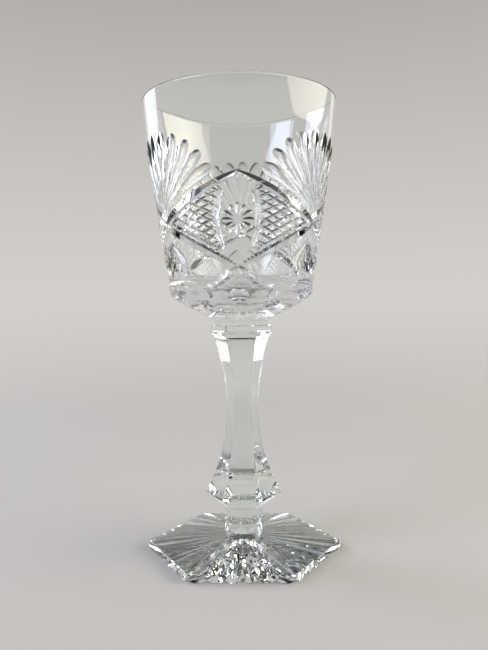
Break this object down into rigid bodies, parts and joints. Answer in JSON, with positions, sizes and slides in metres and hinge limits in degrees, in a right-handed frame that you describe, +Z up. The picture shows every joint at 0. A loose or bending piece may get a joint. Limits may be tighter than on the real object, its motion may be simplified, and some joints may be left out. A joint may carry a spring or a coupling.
{
  "type": "wine glass",
  "caption": "Stemmed wine glass with a bucket bowl cut with diamonds, rosettes and fans, a waisted six-sided stem with a flared knop, and a six-sided foot with a star cut underneath.",
  "frame": {"origin": "centre of the foot's underside, on the surface that the glass stands on", "axes": "+Z up along the axis of the glass, -Y to the front, square to a flat of the stem and foot and through the middle of a cut diamond, +X to the right"},
  "size_m": [0.0698, 0.0686, 0.16],
  "materials": {
    "bowl_glass": "clear blown crystal, polished, with wheel-cut mitres on the outside",
    "stem_glass": "clear solid crystal with polished flat-cut panels",
    "foot_glass": "clear solid crystal, polished on top, with a cut star underneath"
  },
  "bodies": {
    "root": {"bowl": "bowl_glass", "bowl_merese": "stem_glass", "stem": "stem_glass", "foot_neck": "stem_glass", "foot": "foot_glass"}
  },
  "joints": []
}
